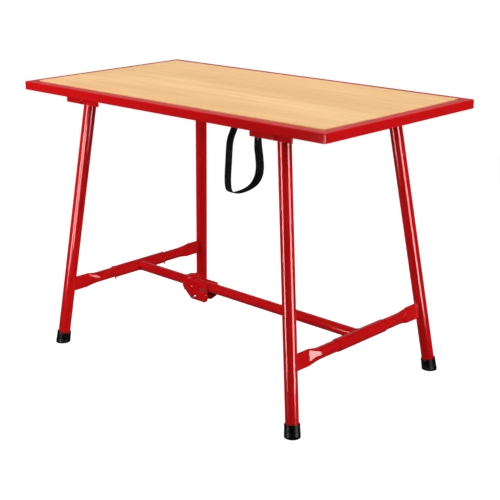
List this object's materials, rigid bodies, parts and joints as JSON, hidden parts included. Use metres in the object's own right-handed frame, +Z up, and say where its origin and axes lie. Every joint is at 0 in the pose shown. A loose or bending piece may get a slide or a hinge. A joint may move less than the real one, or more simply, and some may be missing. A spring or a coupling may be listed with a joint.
{
  "type": "folding workbench",
  "caption": "Folding workbench: a wooden top in a steel angle frame, splayed tube legs that fold under it, a jointed stretcher with a latched knuckle, and a webbing strap.",
  "frame": {"origin": "on the floor under the middle of the top", "axes": "+X along the long side, away from the knuckle's end, +Y to the rear, +Z up"},
  "size_m": [1.2, 0.661, 0.8285],
  "materials": {
    "red_paint": "gloss",
    "wood": "satin",
    "rubber": "matte",
    "webbing": "matte",
    "dark_steel": "satin",
    "zinc": "satin"
  },
  "bodies": {
    "table": {"work_board": "wood", "front_rail": "red_paint", "rear_rail": "red_paint", "left_rail": "red_paint", "right_rail": "red_paint", "front_left_bracket": "red_paint", "front_left_pivot_bolt": "red_paint", "front_left_pivot_nut": "red_paint", "front_left_inner_bracket_screw": "zinc", "front_left_outer_bracket_screw": "zinc", "front_right_bracket": "red_paint", "front_right_pivot_bolt": "red_paint", "front_right_pivot_nut": "red_paint", "front_right_inner_bracket_screw": "zinc", "front_right_outer_bracket_screw": "zinc", "rear_left_bracket": "red_paint", "rear_left_pivot_bolt": "red_paint", "rear_left_pivot_nut": "red_paint", "rear_left_inner_bracket_screw": "zinc", "rear_left_outer_bracket_screw": "zinc", "rear_right_bracket": "red_paint", "rear_right_pivot_bolt": "red_paint", "rear_right_pivot_nut": "red_paint", "rear_right_inner_bracket_screw": "zinc", "rear_right_outer_bracket_screw": "zinc", "strap": "webbing", "strap_rivet": "zinc", "strap_front_screw": "zinc", "strap_rear_screw": "zinc"},
    "right_legs": {"right_crossbar": "red_paint", "front_right_leg": "red_paint", "front_right_foot": "rubber", "front_right_retaining_pin": "dark_steel", "rear_right_leg": "red_paint", "rear_right_foot": "rubber", "rear_right_retaining_pin": "dark_steel"},
    "left_legs": {"left_crossbar": "red_paint", "front_left_leg": "red_paint", "front_left_foot": "rubber", "front_left_retaining_pin": "dark_steel", "rear_left_leg": "red_paint", "rear_left_foot": "rubber", "rear_left_retaining_pin": "dark_steel"},
    "right_bushes": {"front_right_bush": "red_paint", "rear_right_bush": "red_paint"},
    "long_link": {"right_sleeve": "red_paint", "long_stretcher_tube": "red_paint", "front_cheek_plate": "red_paint", "rear_cheek_plate": "red_paint", "knuckle_rivet": "red_paint", "latch_rivet": "zinc", "latch_spring": "zinc"},
    "short_link": {"left_sleeve": "red_paint", "short_stretcher_tube": "red_paint", "knuckle_eye": "red_paint", "front_left_bush": "red_paint", "rear_left_bush": "red_paint"},
    "latch": {"latch_lever": "red_paint"}
  },
  "joints": [
    {"name": "right_leg_fold", "type": "hinge", "parent": "table", "child": "right_legs", "pos_m": [0.391, 0, 0.786], "axis": [0, 1, 0], "range_deg": [0, 96.5]},
    {"name": "left_leg_fold", "type": "hinge", "parent": "table", "child": "left_legs", "pos_m": [-0.391, 0, 0.786], "axis": [0, -1, 0], "range_deg": [0, 84.5], "deforming": ["strap"]},
    {"name": "right_bush_turn", "type": "hinge", "parent": "right_legs", "child": "right_bushes", "pos_m": [0.4691, 0, 0.19], "axis": [0, -1, 0], "range_deg": [0, 215.51]},
    {"name": "long_link_turn", "type": "hinge", "parent": "right_bushes", "child": "long_link", "pos_m": [0.4691, 0, 0.19], "axis": [0, -1, 0], "range_deg": [0, 52.8]},
    {"name": "short_link_turn", "type": "hinge", "parent": "left_legs", "child": "short_link", "pos_m": [-0.4691, 0, 0.19], "axis": [0, 1, 0], "range_deg": [0, 85.32]},
    {"name": "knuckle_latch", "type": "hinge", "parent": "long_link", "child": "latch", "pos_m": [-0.1801, 0, 0.153], "axis": [0, -1, 0], "range_deg": [0, 24], "stiffness_Nm_per_rad": 0.4, "springref_deg": -20.05, "deforming": ["latch_spring"]}
  ],
  "couplings": [
    {"joint": "right_bush_turn", "follows": "right_leg_fold", "ratio": 2.2332},
    {"joint": "long_link_turn", "follows": "left_leg_fold", "ratio": 0.62469},
    {"joint": "short_link_turn", "follows": "left_leg_fold", "ratio": 1.0096}
  ]
}
